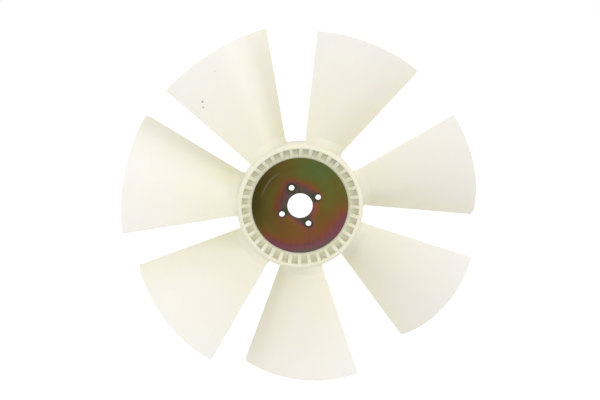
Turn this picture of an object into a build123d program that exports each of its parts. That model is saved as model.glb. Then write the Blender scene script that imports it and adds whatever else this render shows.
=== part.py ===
from build123d import *
from math import atan, cos, radians, sin, tan
import os

# Seven-blade engine cooling fan: one nylon moulding round a pressed steel hub plate.
# Millimetres. The fan spins about Y: the face seen from the radiator looks along -Y,
# the engine is on the +Y side and +Z is up. The origin is the centre of the pilot
# bore, on the face of the plate that is bolted to the engine's fan drive.

# Blades: the leading edge is the forward one, counter-clockwise seen from the front
tip_radius = 280.0
blade_angles = (119.0, 65.8, 13.1, -35.1, -90.0, -139.3, 168.6)
lead_angle_root = 19.3
lead_angle_tip = 18.7
trail_angle_root = 15.9
trail_angle_tip = 18.2
lead_setback_root = 7.5
lead_reach_tip = 20.0
trail_depth_root = 47.0
trail_depth_tip = 66.0
camber_ratio = 0.11
blade_thickness_root = 7.0
blade_thickness_tip = 4.2
blade_edge_thickness = 2.4
edge_flat_angle = 30.0
lead_tip_round = 3.0
trail_tip_round = 7.0
root_flare = 7.0
root_flare_height = 18.0
root_flare_steps = 5
edge_flare = 2.4
edge_flare_height = 7.0
flare_sink = 0.6

# Hub ring: a drum with a slight mould draft, its front edge forward of the mounting face
hub_front_radius = 100.0
hub_depth = 54.0
hub_front_reach = 15.0
hub_draft = 2.6
rim_wall = 7.6
rim_round = 6.0
rim_chamfer = 0.8
inner_draft = 1.5

# Flange that grips the plate, and the gussets that brace it to the drum
flange_bore_radius = 76.2
front_cover = 3.5
rear_cover = 4.5
floor_fall = 2.5
lip_bevel = 2.5
gusset_count = 36
gusset_angle = -0.7
gusset_thickness = 5.6
gusset_setback = 1.6
gusset_foot_radius = 78.5

# Steel plate: flat pad, shallow dish, and a flat rim that the flange grips; the nylon
# runs through small anchor holes that take a share of the grip's width
plate_thickness = 4.0
plate_grip = 11.5
pad_radius = 58.5
dish_width = 6.0
dish_depth = 1.5
dish_bend_radius = 4.0
pilot_radius = 20.0
bolt_circle = 63.0
bolt_count = 4
bolt_radius = 4.5
bolt_angle = 25.0
anchor_count = 9
anchor_share = 0.52

# Places worked out from the sizes above
front_y = -hub_front_reach
rear_y = front_y + hub_depth
taper = tan(radians(hub_draft))
hub_rear_radius = hub_front_radius - hub_depth * taper
rim_front_y = dish_depth - plate_thickness
rim_rear_y = dish_depth
front_floor_y = rim_front_y - front_cover
rear_floor_y = rim_rear_y + rear_cover
plate_radius = flange_bore_radius + plate_grip
anchor_circle = flange_bore_radius + plate_grip / 2
anchor_radius = anchor_share * plate_grip / 2
through = 2 * (hub_depth + tip_radius)
root_flare_start = hub_rear_radius - rim_wall
root_flare_end = hub_front_radius + root_flare_height
inner_span = hub_rear_radius - 2 * rim_wall
outer_span = tip_radius + rim_wall


def drum_radius(y):
    """Outer radius of the hub drum at the axial place y."""
    return hub_front_radius - (y - front_y) * taper


def drum_inner_radius(y):
    """Inner radius of the drum: each pocket widens a little towards its mouth."""
    if y < rim_rear_y:
        mouth = hub_front_radius - rim_wall
        depth = y - front_y
    else:
        mouth = hub_rear_radius - rim_wall
        depth = rear_y - y
    return mouth - depth * tan(radians(inner_draft))


def round_holes(radius, circle, count, angle):
    """Round cutters through the plate, evenly spaced on a circle."""
    spots = PolarLocations(circle, count, angle)
    circles = Sketch() + [spot * Circle(radius) for spot in spots]
    return extrude(Plane.XZ * circles, through, both=True)


def make_plate():
    """Pressed disc: the pad stands forward of the rim by the depth of the dish."""
    dish_end = pad_radius + dish_width
    front = [
        (0, -plate_thickness),
        (pad_radius, -plate_thickness),
        (dish_end, rim_front_y),
        (plate_radius, rim_front_y),
    ]
    rear = [(r, y + plate_thickness) for r, y in reversed(front)]
    section = make_face(Polyline(*front, *rear, close=True))
    bends = section.vertices().filter_by_position(Axis.X, 0, plate_radius, (False, False))
    section = fillet(bends, dish_bend_radius)
    plate = revolve(section, Axis.Y)
    plate -= extrude(Plane.XZ * Circle(pilot_radius), through, both=True)
    plate -= round_holes(bolt_radius, bolt_circle / 2, bolt_count, bolt_angle)
    plate -= round_holes(anchor_radius, anchor_circle, anchor_count, 0)
    return plate


def make_drum():
    """Drum and flange as one turned section, with rounded rim edges."""
    front_corner_y = front_floor_y + floor_fall
    rear_corner_y = rear_floor_y - floor_fall
    front_inner = drum_inner_radius(front_y)
    rear_inner = drum_inner_radius(rear_y)
    outline = [
        (hub_front_radius, front_y),
        (hub_rear_radius, rear_y),
        (rear_inner, rear_y),
        (drum_inner_radius(rear_corner_y), rear_corner_y),
        (flange_bore_radius + lip_bevel, rear_floor_y),
        (flange_bore_radius, rim_rear_y),
        (flange_bore_radius, rim_front_y),
        (flange_bore_radius + lip_bevel, front_floor_y),
        (drum_inner_radius(front_corner_y), front_corner_y),
        (front_inner, front_y),
    ]
    section = make_face(Polyline(*outline, close=True))
    levels = section.vertices().group_by(Axis.Y)
    front_inner_edge = levels[0].sort_by(Axis.X)[0]
    section = chamfer([front_inner_edge, *levels[-1]], rim_chamfer)
    front_outer_edge = section.vertices().sort_by_distance((hub_front_radius, front_y))[0]
    return revolve(fillet(front_outer_edge, rim_round), Axis.Y)


def make_gussets(mouth_y, floor_y):
    """Thin radial webs that slope from the drum's mouth down to the flange's lip."""
    inward = 1 if floor_y > mouth_y else -1
    top_y = mouth_y + inward * gusset_setback
    wall_radius = (drum_inner_radius(mouth_y) + drum_radius(mouth_y)) / 2
    root_y = (rim_front_y + rim_rear_y) / 2
    web = Polyline(
        (wall_radius, top_y),
        (drum_inner_radius(top_y), top_y),
        (gusset_foot_radius, floor_y),
        (gusset_foot_radius, root_y),
        (wall_radius, root_y),
        close=True,
    )
    gusset = extrude(make_face(web), gusset_thickness / 2, both=True)
    turns = [gusset_angle + k * 360 / gusset_count for k in range(gusset_count)]
    return [Rot(0, -turn, 0) * gusset for turn in turns]


def edge_line(radius_in, angle_in, y_in, angle_out, y_out):
    """A straight blade edge, given at the hub and the tip, as a function of span."""
    start = Vector(radius_in * cos(radians(angle_in)), y_in, radius_in * sin(radians(angle_in)))
    end = Vector(tip_radius * cos(radians(angle_out)), y_out, tip_radius * sin(radians(angle_out)))

    def at(span):
        return start + (end - start) * ((span - start.X) / (end.X - start.X))

    return at


lead = edge_line(
    hub_front_radius, lead_angle_root, front_y + lead_setback_root,
    lead_angle_tip, front_y - lead_reach_tip,
)
trail = edge_line(
    hub_front_radius, -trail_angle_root, front_y + trail_depth_root,
    -trail_angle_tip, front_y + trail_depth_tip,
)


def blunt_edge(centre, side, out):
    """Edge of a section: three flats in place of a half round."""
    rise = side * sin(radians(edge_flat_angle))
    reach = out * cos(radians(edge_flat_angle))
    return Polyline(centre + side, centre + rise + reach, centre - rise + reach, centre - side)


def blade_section(span, body_growth=0.0, tail_growth=0.0, nose_growth=0.0):
    """Cambered section across the blade, bowed forward; a root section is thickened."""
    nose = lead(span)
    tail = trail(span)
    chord = (tail - nose).length
    along = (tail - nose) / chord
    forward = Vector(0, along.Z, -along.Y)
    turn = 2 * atan(2 * camber_ratio)
    crown = (nose + tail) / 2 + forward * (camber_ratio * chord)
    thin_out = (span - hub_front_radius) / (tip_radius - hub_front_radius)
    thickness = blade_thickness_root + (blade_thickness_tip - blade_thickness_root) * thin_out
    bulge = forward * (thickness / 2 + body_growth)
    half_edge = blade_edge_thickness / 2
    nose_side = (forward * cos(turn) - along * sin(turn)) * (half_edge + nose_growth)
    nose_out = (along * cos(turn) + forward * sin(turn)) * -(half_edge + nose_growth)
    tail_side = (forward * cos(turn) + along * sin(turn)) * (half_edge + tail_growth)
    tail_out = (along * cos(turn) - forward * sin(turn)) * half_edge
    front_face = ThreePointArc(nose + nose_side, crown + bulge, tail + tail_side)
    rear_face = ThreePointArc(tail - tail_side, crown - bulge, nose - nose_side)
    tail_edge = blunt_edge(tail, tail_side, tail_out)
    nose_edge = blunt_edge(nose, nose_side * -1, nose_out)
    return Wire([front_face, *tail_edge.edges(), rear_face, *nose_edge.edges()])


def flare_growth(full, height, radius):
    """Concave fillet: full thickness at the drum, sunk into the blade at the top."""
    climb = (radius - hub_front_radius) / height
    remaining = 1 - min(max(climb, 0), 1)
    return (full + flare_sink) * remaining ** 2 - flare_sink


def make_root_flare():
    """Moulded fillet that blends the blade into the round drum, smaller at the two edges."""
    wires = []
    for k in range(root_flare_steps):
        span = root_flare_start + k * (root_flare_end - root_flare_start) / (root_flare_steps - 1)
        nose_radius = span / cos(radians(lead_angle_root))
        tail_radius = span / cos(radians(trail_angle_root))
        wires.append(blade_section(
            span,
            flare_growth(root_flare, root_flare_height, span),
            flare_growth(edge_flare, edge_flare_height, tail_radius),
            flare_growth(edge_flare, edge_flare_height, nose_radius),
        ))
    return Solid.make_loft(wires)


def make_planform():
    """Front view of one blade: straight edges, a round tip and two rounded corners."""
    margin = Vector(0, 0, blade_edge_thickness)
    corners = [
        lead(inner_span) + margin,
        lead(outer_span) + margin,
        trail(outer_span) - margin,
        trail(inner_span) - margin,
    ]
    sides = make_face(Polyline(*[(c.X, c.Z) for c in corners], close=True))
    planform = Circle(tip_radius) & sides
    trail_tip = planform.vertices().sort_by_distance((tip_radius, -tip_radius))[0]
    planform = fillet(trail_tip, trail_tip_round)
    lead_tip = planform.vertices().sort_by_distance((tip_radius, tip_radius))[0]
    return fillet(lead_tip, lead_tip_round)


def make_blade():
    """One blade pointing along +X, from inside the drum wall out to the tip circle."""
    blade = Solid.make_loft([blade_section(inner_span), blade_section(outer_span)], ruled=True)
    blade = blade & extrude(Plane.XZ * make_planform(), through, both=True)
    blade = blade + make_root_flare()
    core = Polyline(
        (0, front_y - hub_depth),
        (drum_radius(front_y - hub_depth) - rim_wall / 2, front_y - hub_depth),
        (drum_radius(rear_y + hub_depth) - rim_wall / 2, rear_y + hub_depth),
        (0, rear_y + hub_depth),
        close=True,
    )
    return blade - revolve(make_face(core), Axis.Y)


plate = make_plate()
hub = make_drum() + make_gussets(front_y, front_floor_y) + make_gussets(rear_y, rear_floor_y)
blade = make_blade()
moulding = hub + [Rot(0, -angle, 0) * blade for angle in blade_angles] - plate

os.makedirs("parts", exist_ok=True)
export_step(moulding, "parts/fan_moulding.step")
export_step(plate, "parts/hub_plate.step")
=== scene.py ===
import math

import bpy
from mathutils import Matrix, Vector

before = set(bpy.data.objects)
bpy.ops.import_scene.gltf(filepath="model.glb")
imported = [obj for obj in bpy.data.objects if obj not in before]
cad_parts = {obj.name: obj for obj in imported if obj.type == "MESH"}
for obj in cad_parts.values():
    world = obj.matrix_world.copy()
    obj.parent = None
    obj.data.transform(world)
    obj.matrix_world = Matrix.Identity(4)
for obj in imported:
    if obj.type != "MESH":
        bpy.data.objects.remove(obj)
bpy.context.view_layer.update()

# Fan moulding: blades, hub drum, flange and gussets are one shot of natural nylon.
# The resin is left unpainted: a warm ivory that lets a little light through, yellower
# where the wall is thick at the hub, with a satin skin straight from the mould.


def add_node(tree, kind, place, feeds=None, **settings):
    """Adds a shader node, sets its properties, and feeds its sockets from values or nodes."""
    made = tree.nodes.new(kind)
    made.location = place
    for name, value in settings.items():
        setattr(made, name, value)
    for socket, value in (feeds or {}).items():
        if isinstance(value, bpy.types.NodeSocket):
            tree.links.new(value, made.inputs[socket])
        else:
            made.inputs[socket].default_value = value
    return made


def new_material(name):
    """An empty material with its output and one Principled shader, joined up."""
    material = bpy.data.materials.new(name)
    material.use_nodes = True
    tree = material.node_tree
    tree.nodes.clear()
    shader = add_node(tree, "ShaderNodeBsdfPrincipled", (600, 0))
    add_node(tree, "ShaderNodeOutputMaterial", (900, 0), {"Surface": shader.outputs["BSDF"]})
    return material, tree, shader


def add_ramp(tree, place, factor, stops):
    """A colour ramp through (place, colour) stops; a single number is a grey."""
    node = add_node(tree, "ShaderNodeValToRGB", place, {"Fac": factor})
    ramp = node.color_ramp
    ramp.elements.remove(ramp.elements[1])
    for index, (spot, colour) in enumerate(stops):
        shade = (colour, colour, colour, 1) if isinstance(colour, float) else (*colour, 1)
        element = ramp.elements[0] if index == 0 else ramp.elements.new(spot)
        element.position = spot
        element.color = shade
    return node.outputs["Color"]


def add_range(tree, place, value, start, end, low=0.0, high=1.0, smooth=True):
    """Carries a value from one range to another, with soft ends."""
    kind = "SMOOTHSTEP" if smooth else "LINEAR"
    feeds = {"Value": value, "From Min": start, "From Max": end, "To Min": low, "To Max": high}
    made = add_node(tree, "ShaderNodeMapRange", place, feeds, interpolation_type=kind)
    return made.outputs["Result"]


def add_math(tree, place, operation, first, second=0.0, third=0.0):
    """One sum on one to three values or sockets."""
    feeds = {0: first, 1: second, 2: third}
    return add_node(tree, "ShaderNodeMath", place, feeds, operation=operation).outputs[0]


def add_mix(tree, place, factor, first, second, blend="MIX"):
    """Mixes two colours."""
    node = add_node(tree, "ShaderNodeMix", place, {0: factor}, data_type="RGBA", blend_type=blend)
    for socket, colour in ((node.inputs[6], first), (node.inputs[7], second)):
        if isinstance(colour, bpy.types.NodeSocket):
            tree.links.new(colour, socket)
        else:
            socket.default_value = (*colour, 1)
    return node.outputs[2]


def make_polar_group():
    """Radius and turn about the fan's axis, for finishes that follow the round hub."""
    group = bpy.data.node_groups.new("polar_about_axis", "ShaderNodeTree")
    group.interface.new_socket("Point", in_out="INPUT", socket_type="NodeSocketVector")
    group.interface.new_socket("Radius", in_out="OUTPUT", socket_type="NodeSocketFloat")
    group.interface.new_socket("Turn", in_out="OUTPUT", socket_type="NodeSocketFloat")
    entry = add_node(group, "NodeGroupInput", (-600, 0))
    parts = add_node(group, "ShaderNodeSeparateXYZ", (-400, 0), {0: entry.outputs["Point"]})
    feeds = {"X": parts.outputs["X"], "Z": parts.outputs["Z"]}
    flat = add_node(group, "ShaderNodeCombineXYZ", (-200, 100), feeds)
    feeds = {0: flat.outputs[0]}
    radius = add_node(group, "ShaderNodeVectorMath", (0, 100), feeds, operation="LENGTH")
    angle = add_math(group, (-200, -100), "ARCTAN2", parts.outputs["Z"], parts.outputs["X"])
    turn = add_range(group, (0, -100), angle, -math.pi, math.pi, smooth=False)
    add_node(group, "NodeGroupOutput", (300, 0), {"Radius": radius.outputs["Value"], "Turn": turn})
    return group


def make_speck_group():
    """A mask that is 1 inside a small ball round a centre, with a soft edge."""
    group = bpy.data.node_groups.new("speck", "ShaderNodeTree")
    group.interface.new_socket("Point", in_out="INPUT", socket_type="NodeSocketVector")
    group.interface.new_socket("Centre", in_out="INPUT", socket_type="NodeSocketVector")
    group.interface.new_socket("Size", in_out="INPUT", socket_type="NodeSocketFloat")
    group.interface.new_socket("Mask", in_out="OUTPUT", socket_type="NodeSocketFloat")
    entry = add_node(group, "NodeGroupInput", (-600, 0))
    feeds = {0: entry.outputs["Point"], 1: entry.outputs["Centre"]}
    gap = add_node(group, "ShaderNodeVectorMath", (-300, 0), feeds, operation="DISTANCE")
    share = add_math(group, (-100, 0), "DIVIDE", gap.outputs["Value"], entry.outputs["Size"])
    mask = add_range(group, (100, 0), share, 0.5, 1.0, 1.0, 0.0)
    add_node(group, "NodeGroupOutput", (300, 0), {"Mask": mask})
    return group


polar_about_axis = make_polar_group()
speck = make_speck_group()

# dirt moulded into one blade: centre and size in metres, strength
dirt_specks = [
    ((-0.1518, -0.0269, 0.1690), 0.0021, 0.75),
    ((-0.1508, -0.0261, 0.1601), 0.0019, 0.70),
    ((-0.1321, -0.0206, 0.2160), 0.0015, 0.35),
]
dirt_colour = (0.22, 0.12, 0.06)

# radii and depths in metres that the colour follows
hub_inside = 0.075
tip_radius = 0.28
pocket_inside = 0.082
pocket_outside = 0.0925
front_depth = -0.012
rear_depth = 0.05

nylon, tree, shader = new_material("natural_nylon")
point = add_node(tree, "ShaderNodeTexCoord", (-2200, 0)).outputs["Object"]
polar = add_node(tree, "ShaderNodeGroup", (-2000, 200), node_tree=polar_about_axis)
tree.links.new(point, polar.inputs["Point"])
radius = polar.outputs["Radius"]
span = add_range(tree, (-1800, 200), radius, hub_inside, tip_radius, smooth=False)
feeds = {"Vector": point, "Scale": 11.0, "Detail": 3.0}
cloud = add_node(tree, "ShaderNodeTexNoise", (-2000, -100), feeds).outputs["Fac"]
sway = add_range(tree, (-1800, -100), cloud, 0.2, 0.8, -0.08, 0.08, smooth=False)
sway = add_math(tree, (-1600, 100), "ADD", sway, span)
colour = add_ramp(tree, (-1400, 200), sway, [
    (0.10, (0.834, 0.812, 0.660)),
    (0.22, (0.846, 0.820, 0.688)),
    (0.56, (0.876, 0.840, 0.758)),
    (0.90, (0.886, 0.860, 0.810)),
])
# painted shade: the side that faces the engine, where the trailing parts get less light, is
# yellower; the pockets round the plate are darker, also painted shade
depth = add_node(tree, "ShaderNodeSeparateXYZ", (-1800, -400), {0: point}).outputs["Y"]
# painted shade: a yellow tint that grows towards the rear, standing for the shaded trailing parts
painted_rear_shade = add_range(tree, (-1400, -150), depth, front_depth, rear_depth)
colour = add_mix(tree, (-1100, 200), painted_rear_shade, colour, (1.0, 1.0, 0.93), "MULTIPLY")
# painted shade: the pocket zone round the plate is darkened where the recess lies in shade
painted_pocket_shade = add_range(tree, (-1400, -450), radius, pocket_inside, pocket_outside, 1.0, 0.0)
colour = add_mix(tree, (-900, 200), painted_pocket_shade, colour, (0.89, 0.89, 0.815), "MULTIPLY")
for index, (centre, size, strength) in enumerate(dirt_specks):
    spot = add_node(tree, "ShaderNodeGroup", (-600 + 300 * index, -300), node_tree=speck)
    tree.links.new(point, spot.inputs["Point"])
    spot.inputs["Centre"].default_value = centre
    spot.inputs["Size"].default_value = size
    weight = add_math(tree, (-500 + 300 * index, -100), "MULTIPLY", spot.outputs["Mask"], strength)
    colour = add_mix(tree, (-400 + 300 * index, 200), weight, colour, dirt_colour)
tree.links.new(colour, shader.inputs["Base Color"])
feeds = {"Vector": point, "Scale": 420.0, "Detail": 4.0}
skin = add_node(tree, "ShaderNodeTexNoise", (-200, -600), feeds).outputs["Fac"]
satin = add_range(tree, (200, -400), skin, 0.2, 0.8, 0.30, 0.40)
tree.links.new(satin, shader.inputs["Roughness"])
feeds = {"Strength": 0.1, "Distance": 0.0004, "Height": skin}
bump = add_node(tree, "ShaderNodeBump", (200, -700), feeds)
tree.links.new(bump.outputs["Normal"], shader.inputs["Normal"])
shader.inputs["IOR"].default_value = 1.53
shader.inputs["Subsurface Weight"].default_value = 0.5
shader.inputs["Subsurface Radius"].default_value = (1.0, 0.85, 0.55)
shader.inputs["Subsurface Scale"].default_value = 0.006
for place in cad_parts["fan_moulding"].material_slots:
    place.material = nylon

# Hub plate: a disc pressed from steel sheet, pierced for the pilot and the bolts, then
# zinc plated and dipped in chromate. The film varies in thickness, so its tint drifts
# through teal, purple, rust, olive and green. The nylon is moulded round its rim.

bolt_circle_radius = 0.0315
bolt_hole_radius = 0.0045
bolt_angle = math.radians(25)
halo_reach = 2.0 * bolt_hole_radius
halo_depth = 0.50
thinned_by = 0.073
mauve_tint = (0.208, 0.072, 0.088)
grey_tint = (0.142, 0.096, 0.086)
# the dark left rim, partly painted shade: its colour, then where it starts, where it is full and
# how strong
left_rim_shade_tint = (0.012, 0.010, 0.002)
left_rim_shade_start, left_rim_shade_end, left_rim_shade_strength = 0.044, 0.074, 0.56
# the thin pale arc on the plate: its colour, then its core, full width and strength
pale_arc_tint = (0.21, 0.18, 0.13)
pale_arc_core, pale_arc_width, pale_arc_strength = 0.0002, 0.0021, 0.46

plated, tree, shader = new_material("chromated_zinc")
point = add_node(tree, "ShaderNodeTexCoord", (-2600, 0)).outputs["Object"]
polar = add_node(tree, "ShaderNodeGroup", (-2400, 200), node_tree=polar_about_axis)
tree.links.new(point, polar.inputs["Point"])
radius = polar.outputs["Radius"]
turn = polar.outputs["Turn"]
# the film thickens outwards from the bore: where it starts, where it is full and how thick
# it gets differ round the disc
onset = add_ramp(tree, (-2100, 800), turn, [
    (0.0, 0.018), (0.05, 0.026), (0.09, 0.024), (0.125, 0.019), (0.25, 0.017), (0.33, 0.033),
    (0.375, 0.018), (0.42, 0.012), (0.5, 0.010), (0.56, 0.024), (0.6, 0.026), (0.66, 0.020),
    (0.75, 0.024), (0.82, 0.034), (0.86, 0.028), (0.9, 0.019), (1.0, 0.018),
])
full = add_ramp(tree, (-2100, 550), turn, [
    (0.0, 0.052), (0.05, 0.045), (0.09, 0.034), (0.125, 0.027), (0.17, 0.030), (0.25, 0.036),
    (0.33, 0.045), (0.4, 0.036), (0.5, 0.041), (0.58, 0.045), (0.66, 0.053), (0.75, 0.050),
    (0.83, 0.054), (0.88, 0.050), (1.0, 0.052),
])
height = add_ramp(tree, (-2100, 300), turn, [
    (0.0, 0.74), (0.05, 0.75), (0.1, 0.63), (0.17, 0.57), (0.29, 0.46), (0.4, 0.60), (0.46, 0.65),
    (0.5, 0.77), (0.57, 0.81), (0.66, 1.0), (0.72, 0.97), (0.79, 0.73), (0.86, 0.69), (1.0, 0.74),
])
climb = add_range(tree, (-1700, 500), radius, onset, full)
film = add_math(tree, (-1500, 400), "MULTIPLY", climb, height)
# towards the rim it thins again along the bottom
fall = add_ramp(tree, (-2100, 50), turn, [
    (0.0, 0.0), (0.08, 0.02), (0.13, 0.28), (0.25, 0.38), (0.36, 0.37), (0.42, 0.31), (0.46, 0.27),
    (0.5, 0.18), (0.54, 0.04), (0.58, 0.0),
])
fall_start = add_ramp(tree, (-2100, -200), turn, [
    (0.12, 0.060), (0.2, 0.050), (0.29, 0.052), (0.36, 0.044), (0.46, 0.040), (0.52, 0.046),
])
edge = add_range(tree, (-1700, -100), radius, fall_start, thinned_by)
thinned = add_math(tree, (-1500, 0), "MULTIPLY", fall, edge)
film = add_math(tree, (-1300, 300), "SUBTRACT", film, thinned)
# and round each bolt hole
angle = add_math(tree, (-2100, -600), "MULTIPLY_ADD", turn, 2 * math.pi, -math.pi - bolt_angle)
quarter = add_math(tree, (-1900, -600), "WRAP", angle, math.pi / 4, -math.pi / 4)
across = add_math(tree, (-1700, -550), "COSINE", quarter)
across = add_math(tree, (-1500, -550), "MULTIPLY_ADD", across, radius, -bolt_circle_radius)
along = add_math(tree, (-1700, -750), "SINE", quarter)
along = add_math(tree, (-1500, -750), "MULTIPLY", along, radius)
nearby = add_node(tree, "ShaderNodeCombineXYZ", (-1300, -650), {"X": across, "Y": along})
feeds = {0: nearby.outputs[0]}
nearby = add_node(tree, "ShaderNodeVectorMath", (-1100, -650), feeds, operation="LENGTH")
nearby = nearby.outputs["Value"]
halo = add_range(tree, (-900, -650), nearby, bolt_hole_radius, halo_reach, halo_depth, 0.0)
film = add_math(tree, (-1100, 300), "SUBTRACT", film, halo)
# it ran down the disc as it dried: broad clouds, small patches and faint upright streaks
feeds = {"Vector": point, "Scale": 42.0, "Detail": 3.0}
drift = add_node(tree, "ShaderNodeTexNoise", (-2100, -1000), feeds).outputs["Fac"]
clouds = add_range(tree, (-1900, -1000), drift, 0.25, 0.75, -0.06, 0.06, smooth=False)
feeds = {"Vector": point, "Scale": (1.0, 1.0, 0.12)}
drawn = add_node(tree, "ShaderNodeMapping", (-2300, -1300), feeds).outputs[0]
feeds = {"Vector": drawn, "Scale": 260.0, "Detail": 2.0}
runs = add_node(tree, "ShaderNodeTexNoise", (-2100, -1300), feeds).outputs["Fac"]
streaks = add_range(tree, (-1900, -1300), runs, 0.3, 0.7, -0.08, 0.08, smooth=False)
feeds = {"Vector": point, "Scale": 135.0, "Detail": 2.0}
patches = add_node(tree, "ShaderNodeTexNoise", (-2100, -1600), feeds).outputs["Fac"]
mottle = add_range(tree, (-1900, -1600), patches, 0.3, 0.7, -0.04, 0.04, smooth=False)
uneven = add_math(tree, (-1700, -1100), "ADD", clouds, streaks)
uneven = add_math(tree, (-1500, -1100), "ADD", uneven, mottle)
film = add_math(tree, (-900, 300), "ADD", film, uneven)
tint = add_ramp(tree, (-700, 300), film, [
    (0.0, (0.055, 0.059, 0.032)),
    (0.05, (0.099, 0.068, 0.059)),
    (0.14, (0.122, 0.064, 0.056)),
    (0.25, (0.170, 0.066, 0.055)),
    (0.36, (0.222, 0.071, 0.042)),
    (0.50, (0.202, 0.087, 0.028)),
    (0.65, (0.159, 0.101, 0.026)),
    (0.80, (0.136, 0.122, 0.026)),
    (1.0, (0.105, 0.140, 0.040)),
])
# along the lower rim it dried to mauve, and to grey at the very edge
mauve = add_range(tree, (-1300, 0), thinned, 0.18, 0.34)
tint = add_mix(tree, (-500, 400), mauve, tint, mauve_tint)
grey = add_range(tree, (-1300, -200), thinned, 0.33, 0.385)
tint = add_mix(tree, (-420, 550), grey, tint, grey_tint)
# painted shade: the plate is darker towards the left, where it reflects a dimmer part of the room
painted_left_shade = add_ramp(tree, (-700, 700), turn, [
    (0.0, 0.68), (0.05, 0.66), (0.1, 0.76), (0.17, 0.80), (0.25, 0.87), (0.36, 0.86), (0.42, 0.83),
    (0.5, 0.88), (0.6, 0.85), (0.75, 0.82), (0.8, 0.77), (0.86, 0.74), (0.92, 0.70), (1.0, 0.68),
])
beyond = add_range(tree, (-700, 950), radius, 0.022, 0.036)
tint = add_mix(tree, (-350, 400), beyond, tint, painted_left_shade, "MULTIPLY")
# the film is darkest at the left rim: partly darker film, partly painted shade standing for the
# flange's shadow and the dim room it reflects
left = add_ramp(tree, (-700, 0), turn, [
    (0.0, 1.0), (0.04, 0.7), (0.08, 0.2), (0.11, 0.0),
    (0.78, 0.0), (0.83, 0.25), (0.88, 0.8), (0.92, 1.0),
])
outward = add_range(tree, (-700, -250), radius, left_rim_shade_start, left_rim_shade_end, 0.0, left_rim_shade_strength)
shade = add_math(tree, (-400, -100), "MULTIPLY", left, outward)
tint = add_mix(tree, (-200, 200), shade, tint, left_rim_shade_tint)
# a thin pale arc at the upper left, hooked at its top
pale_arc_path = add_ramp(tree, (-700, -500), turn, [
    (0.833, 0.0562), (0.839, 0.0605), (0.853, 0.0622), (1.0, 0.0621),
])
offset = add_math(tree, (-400, -500), "SUBTRACT", radius, pale_arc_path)
offset = add_math(tree, (-200, -500), "ABSOLUTE", offset)
line = add_range(tree, (0, -500), offset, pale_arc_core, pale_arc_width, 1.0, 0.0)
length = add_ramp(tree, (-400, -750), turn, [
    (0.829, 0.0), (0.85, 0.5), (0.89, 0.8), (0.94, 0.7), (0.972, 0.0),
])
pale_arc = add_math(tree, (200, -500), "MULTIPLY", line, length)
pale_arc = add_math(tree, (350, -500), "MULTIPLY", pale_arc, pale_arc_strength)
tint = add_mix(tree, (200, 200), pale_arc, tint, pale_arc_tint)
tree.links.new(tint, shader.inputs["Base Color"])
feeds = {"Vector": point, "Scale": 900.0, "Detail": 3.0}
grain = add_node(tree, "ShaderNodeTexNoise", (0, -500), feeds).outputs["Fac"]
dull = add_range(tree, (300, -400), grain, 0.2, 0.8, 0.34, 0.46)
tree.links.new(dull, shader.inputs["Roughness"])
feeds = {"Strength": 0.06, "Distance": 0.0002, "Height": grain}
bump = add_node(tree, "ShaderNodeBump", (300, -650), feeds)
tree.links.new(bump.outputs["Normal"], shader.inputs["Normal"])
shader.inputs["Metallic"].default_value = 1.0
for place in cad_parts["hub_plate"].material_slots:
    place.material = plated

# Studio: a wide pale floor well below the fan, which its drive holds up, a soft white
# room that is a little dimmer behind the fan, and three soft lamps.

scene = bpy.context.scene
scene.view_settings.view_transform = "Standard"

world = bpy.data.worlds.new("white_room")
scene.world = world
world.use_nodes = True
tree = world.node_tree
tree.nodes.clear()


def add_seen(tree, place):
    """1 for rays that show the surroundings or their mirror image, 0 for rays that light."""
    x, y = place
    path = add_node(tree, "ShaderNodeLightPath", place).outputs
    seen = add_math(tree, (x + 200, y), "MAXIMUM", path["Is Camera Ray"], path["Is Glossy Ray"])
    return add_math(tree, (x + 400, y), "MAXIMUM", seen, path["Is Transmission Ray"])


front_light = 0.91
back_light = 0.84
heading = add_node(tree, "ShaderNodeTexCoord", (-800, -200)).outputs["Generated"]
behind = add_node(tree, "ShaderNodeSeparateXYZ", (-600, -200), {0: heading}).outputs["Y"]
room = add_range(tree, (-300, -200), behind, -0.2, 0.6, front_light, back_light)
seen = add_seen(tree, (-600, 200))
level = add_range(tree, (0, 200), seen, 0.0, 1.0, room, 1.0, smooth=False)
feeds = {"Color": (1, 1, 1, 1), "Strength": level}
sky = add_node(tree, "ShaderNodeBackground", (300, 0), feeds)
add_node(tree, "ShaderNodeOutputWorld", (600, 0), {"Surface": sky.outputs[0]})

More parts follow.
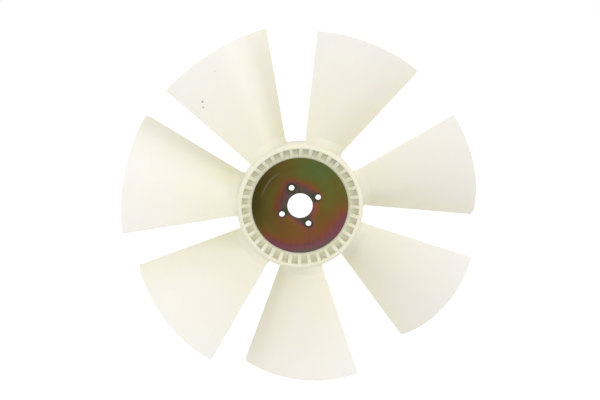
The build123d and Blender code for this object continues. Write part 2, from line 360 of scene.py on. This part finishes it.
floor_level = -0.9
floor_reach = 14.0
floor_corners = ((-1, -1), (1, -1), (1, 1), (-1, 1))
paper_colour = (0.74, 0.74, 0.74, 1)
paper_lift = 0.42
floor_mesh = bpy.data.meshes.new("floor")
floor_mesh.from_pydata(
    [(x * floor_reach, y * floor_reach, floor_level) for x, y in floor_corners],
    [],
    [(0, 1, 2, 3)],
)
floor = bpy.data.objects.new("floor", floor_mesh)
scene.collection.objects.link(floor)
paper, tree, shader = new_material("white_paper")
shader.inputs["Base Color"].default_value = paper_colour
shader.inputs["Roughness"].default_value = 0.9
shader.inputs["Emission Color"].default_value = (1, 1, 1, 1)
seen = add_seen(tree, (-400, -400))
lift = add_math(tree, (300, -400), "MULTIPLY", seen, paper_lift)
tree.links.new(lift, shader.inputs["Emission Strength"])
floor_mesh.materials.append(paper)


def add_lamp(name, spot, size, power):
    """A soft lamp at a spot, turned to face the fan."""
    data = bpy.data.lights.new(name, "AREA")
    data.shape = "RECTANGLE"
    data.size, data.size_y = size
    data.energy = power
    lamp = bpy.data.objects.new(name, data)
    lamp.location = spot
    lamp.rotation_euler = (-Vector(spot)).to_track_quat("-Z", "Y").to_euler()
    scene.collection.objects.link(lamp)


add_lamp("key_lamp", (1.7, -2.4, 2.2), (1.4, 1.4), 14)
add_lamp("fill_lamp", (-2.6, -2.2, 1.0), (1.4, 1.4), 13)
add_lamp("streak_lamp", (3.2, -1.75, 0.95), (0.6, 0.6), 9)

# Camera: a long lens about 3 m away and a little above the axis, as the photograph was
# taken, aimed so that the fan sits in the frame where it does there.

view_side = math.radians(-1.823)
view_height = math.radians(10.757)
view_distance = 2.9797
ring_centre = Vector((0, -0.015, 0))
aim_up = 0.01112
aim_left = 0.00046
away = Vector((
    math.sin(view_side) * math.cos(view_height),
    -math.cos(view_side) * math.cos(view_height),
    math.sin(view_height),
))
right = Vector((math.cos(view_side), math.sin(view_side), 0))
up = right.cross(-away)
camera_data = bpy.data.cameras.new("camera")
camera_data.sensor_width = 36.0
camera_data.lens = 113.8
camera = bpy.data.objects.new("camera", camera_data)
camera.location = ring_centre + away * view_distance
aim = ring_centre + up * aim_up - right * aim_left
camera.rotation_euler = (aim - camera.location).to_track_quat("-Z", "Y").to_euler()
scene.collection.objects.link(camera)
scene.camera = camera
